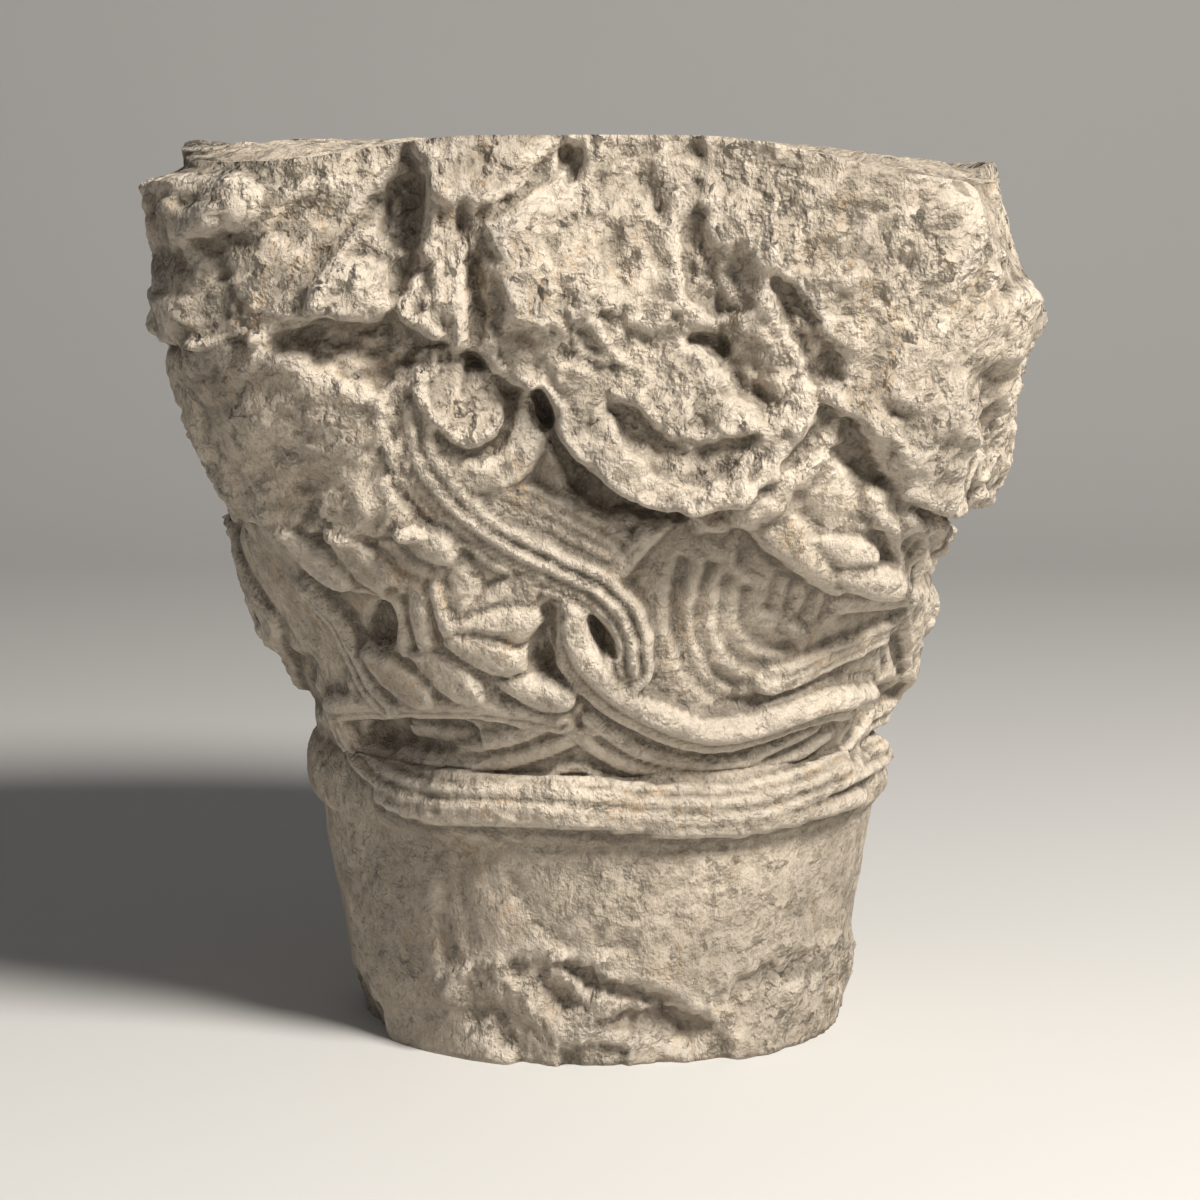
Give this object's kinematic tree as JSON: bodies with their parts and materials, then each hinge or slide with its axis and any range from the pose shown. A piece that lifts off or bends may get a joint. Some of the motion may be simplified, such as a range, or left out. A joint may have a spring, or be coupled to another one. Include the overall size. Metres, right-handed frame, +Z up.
{
  "type": "marble capital",
  "caption": "Worn Romanesque column capital of marble: round neck, grooved ring, bell with interlaced straps, ribbed fans and lobed leaves, and a broken square top.",
  "frame": {"origin": "middle of the flat underside, on the axis of the round neck", "axes": "+Z up along the neck's axis, -Y out of the carved face that the picture shows, +X to that face's right"},
  "size_m": [0.3357, 0.3438, 0.3472],
  "materials": {
    "marble": "weathered, matt, warm grey-white marble with rough broken faces"
  },
  "bodies": {
    "root": {"capital": "marble"}
  },
  "joints": []
}
